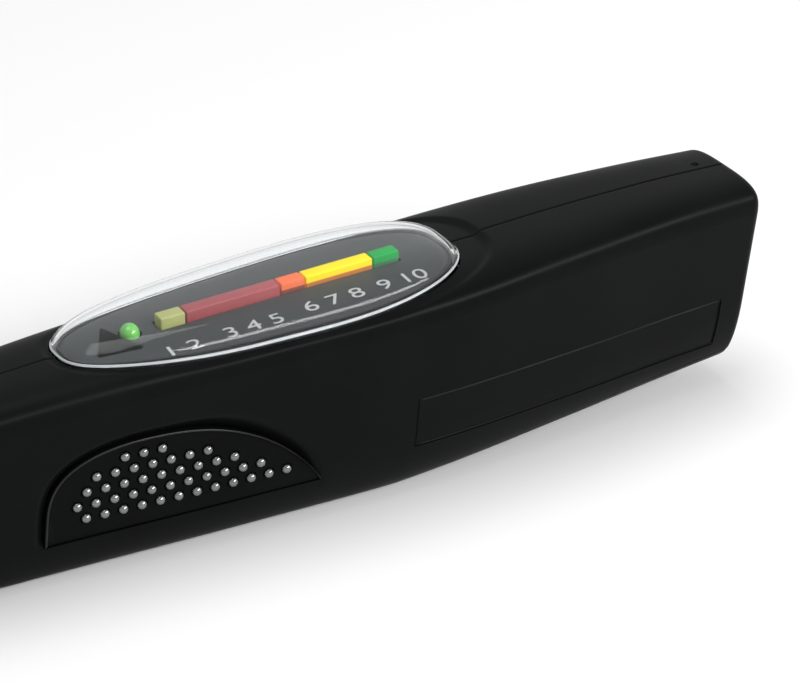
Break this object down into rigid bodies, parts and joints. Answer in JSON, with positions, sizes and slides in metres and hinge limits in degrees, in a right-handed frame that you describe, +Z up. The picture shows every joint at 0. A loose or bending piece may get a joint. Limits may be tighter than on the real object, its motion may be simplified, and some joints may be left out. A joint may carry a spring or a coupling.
{
  "type": "diamond tester",
  "caption": "Handheld diamond tester: black wand with a domed window over a coloured light bar, studded side grips, power button, sprung probe under a pull-off cap and a sliding battery door.",
  "frame": {"origin": "middle of the bounding box's footprint, at the height of the underside's flat stretch", "axes": "+X towards the rear end, -X towards the probe and cap, +Z up through the window, -Y towards the side with the bare panel"},
  "size_m": [0.184, 0.028, 0.0387],
  "materials": {
    "case_black": "satin",
    "grip_black": "matt",
    "label_black": "satin",
    "button_black": "satin",
    "clear_plastic": "clear",
    "plate_grey": "satin",
    "bar_colour_1": "satin",
    "bar_colour_2": "satin",
    "bar_colour_3": "satin",
    "bar_colour_4": "satin",
    "bar_colour_5": "satin",
    "led_green": "gloss",
    "board_green": "matt",
    "black_plastic": "matt",
    "white_plastic": "matt",
    "steel": "satin",
    "chrome": "polished",
    "copper": "satin",
    "cell_wrap": "satin",
    "lead_red": "satin",
    "lead_black": "satin",
    "lead_white": "satin"
  },
  "bodies": {
    "case": {"left_shell": "case_black", "right_shell": "case_black", "window_lens": "clear_plastic", "display_plate": "plate_grey", "bar_segment_1": "bar_colour_1", "bar_segment_2": "bar_colour_2", "bar_segment_3": "bar_colour_3", "bar_segment_4": "bar_colour_4", "bar_segment_5": "bar_colour_5", "indicator_chip_1": "white_plastic", "indicator_chip_2": "white_plastic", "indicator_chip_3": "white_plastic", "indicator_chip_4": "white_plastic", "indicator_chip_5": "white_plastic", "bar_housing": "white_plastic", "ready_led": "led_green", "display_board": "board_green", "main_board": "board_green", "board_header": "black_plastic", "microcontroller": "black_plastic", "buzzer": "black_plastic", "capacitor": "steel", "switch_body": "black_plastic", "battery_tray": "black_plastic", "cell_upper": "cell_wrap", "cell_lower": "cell_wrap", "contact_rear": "steel", "contact_front": "steel", "battery_lead_red": "lead_red", "battery_lead_black": "lead_black", "probe_housing": "black_plastic", "probe_spring": "steel", "probe_lead_1": "lead_white", "probe_lead_2": "lead_white", "label_plate": "label_black", "right_grip_pad": "grip_black", "right_stud_plate": "chrome", "left_grip_pad": "grip_black", "left_stud_plate": "chrome", "case_screw_1": "steel", "case_screw_2": "steel", "case_screw_3": "steel", "case_screw_4": "steel"},
    "button": {"power_button": "button_black", "switch_plunger": "white_plastic"},
    "probe": {"probe_carrier": "white_plastic", "probe_sleeve": "steel", "probe_tip": "copper"},
    "cap": {"probe_cap": "case_black"},
    "door": {"battery_door": "case_black"}
  },
  "joints": [
    {"name": "power_press", "type": "slide", "parent": "case", "child": "button", "axis": [0, 0, -1], "range_m": [0, 0.0005], "stiffness_N_per_m": 1500, "springref_m": -0.0003},
    {"name": "probe_retract", "type": "slide", "parent": "case", "child": "probe", "axis": [1, 0, 0], "range_m": [0, 0.0015], "stiffness_N_per_m": 300, "springref_m": -0.001, "deforming": ["probe_spring", "probe_lead_1", "probe_lead_2"]},
    {"name": "cap_pull", "type": "slide", "parent": "case", "child": "cap", "axis": [-1, 0, 0], "range_m": [0, 0.03]},
    {"name": "door_slide", "type": "slide", "parent": "case", "child": "door", "axis": [0.9977, 0, 0.0675], "range_m": [0, 0.066]}
  ]
}
